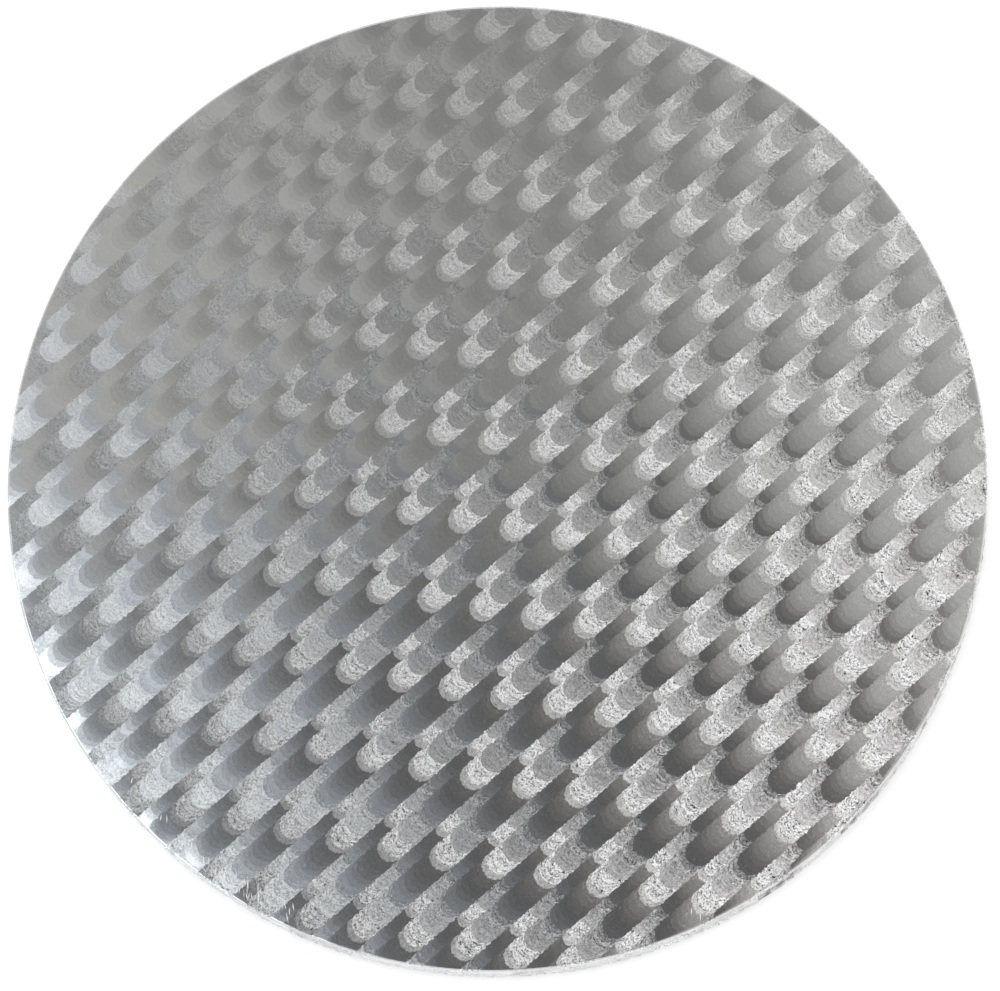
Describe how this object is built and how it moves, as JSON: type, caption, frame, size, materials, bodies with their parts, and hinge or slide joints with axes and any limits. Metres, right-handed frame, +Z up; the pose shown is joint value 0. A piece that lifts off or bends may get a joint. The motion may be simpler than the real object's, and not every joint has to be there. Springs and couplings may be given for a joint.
{
  "type": "cake board",
  "caption": "Round cake board: a thick card disc wrapped in embossed silver foil, pleated round the edge, with a paper-lined underside.",
  "frame": {"origin": "centre of the underside, on the plane the board stands on", "axes": "+Z up, square to the top face; X and Y lie in the board's plane"},
  "size_m": [0.204, 0.204, 0.012],
  "materials": {
    "card": "matte",
    "silver_foil": "satin",
    "white_paper": "matte"
  },
  "bodies": {
    "root": {"board_core": "card", "foil_wrap": "silver_foil", "backing_paper": "white_paper"}
  },
  "joints": []
}
